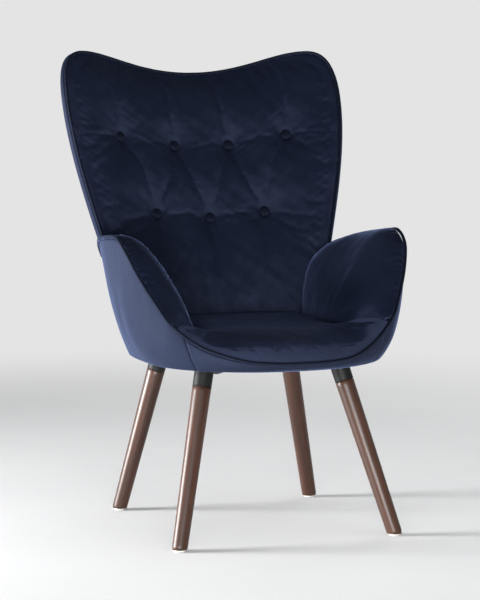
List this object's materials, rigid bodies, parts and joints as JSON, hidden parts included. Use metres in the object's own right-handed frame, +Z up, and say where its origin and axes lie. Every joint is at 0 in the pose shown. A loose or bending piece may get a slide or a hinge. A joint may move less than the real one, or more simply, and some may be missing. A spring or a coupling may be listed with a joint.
{
  "type": "wing-back armchair",
  "caption": "Wing-back armchair with a button-tufted velvet back, a low wrap-round tub of arms and seat, and splayed tapered timber legs.",
  "frame": {"origin": "middle of the bounding box, on the floor", "axes": "+Z up, -Y towards the front of the chair, +X towards the right of someone facing its front"},
  "size_m": [0.6834, 0.7798, 1.0489],
  "materials": {
    "velvet": "short-pile navy velvet, soft blue-grey sheen",
    "velvet_trim": "the same velvet, cut for piping and covered buttons",
    "foam": "open-cell polyurethane foam",
    "plywood": "moulded plywood, bare",
    "frame_timber": "sawn timber, bare",
    "lining": "black non-woven lining",
    "walnut": "walnut-stained hardwood, satin lacquer",
    "gunmetal": "dark gunmetal, satin",
    "black_steel": "black powder coat",
    "zinc_steel": "zinc plated",
    "glide_plastic": "pale moulded nylon"
  },
  "bodies": {
    "root": {"tuft_button_1": "velvet_trim", "tuft_anchor_1": "zinc_steel", "tuft_button_2": "velvet_trim", "tuft_anchor_2": "zinc_steel", "tuft_button_3": "velvet_trim", "tuft_anchor_3": "zinc_steel", "tuft_button_4": "velvet_trim", "tuft_anchor_4": "zinc_steel", "tuft_button_5": "velvet_trim", "tuft_anchor_5": "zinc_steel", "tuft_button_6": "velvet_trim", "tuft_anchor_6": "zinc_steel", "tuft_button_7": "velvet_trim", "tuft_anchor_7": "zinc_steel", "back_cover_inner": "velvet", "back_foam": "foam", "back_frame": "plywood", "back_cover_outer": "velvet", "back_welt": "velvet_trim", "front_cover": "velvet", "tub_welt": "velvet_trim", "arm_cover_inner_left": "velvet", "arm_foam_left": "foam", "arm_frame_left": "plywood", "arm_cover_outer_left": "velvet", "arm_cover_inner_right": "velvet", "arm_foam_right": "foam", "arm_frame_right": "plywood", "arm_cover_outer_right": "velvet", "seat_cover": "velvet", "seat_foam": "foam", "seat_board": "plywood", "dust_cover": "lining", "seat_rail_front": "frame_timber", "seat_rail_rear": "frame_timber", "seat_rail_left": "frame_timber", "seat_rail_right": "frame_timber", "leg_front_left": "walnut", "leg_glide_front_left": "glide_plastic", "leg_stud_front_left": "zinc_steel", "leg_socket_front_left": "gunmetal", "frame_bolt_front_left": "zinc_steel", "leg_front_right": "walnut", "leg_glide_front_right": "glide_plastic", "leg_stud_front_right": "zinc_steel", "leg_socket_front_right": "gunmetal", "frame_bolt_front_right": "zinc_steel", "leg_rear_left": "walnut", "leg_glide_rear_left": "glide_plastic", "leg_stud_rear_left": "zinc_steel", "leg_socket_rear_left": "gunmetal", "frame_bolt_rear_left": "zinc_steel", "leg_rear_right": "walnut", "leg_glide_rear_right": "glide_plastic", "leg_stud_rear_right": "zinc_steel", "leg_socket_rear_right": "gunmetal", "frame_bolt_rear_right": "zinc_steel", "cross_bar_a": "black_steel", "cross_bar_b": "black_steel"}
  },
  "joints": []
}
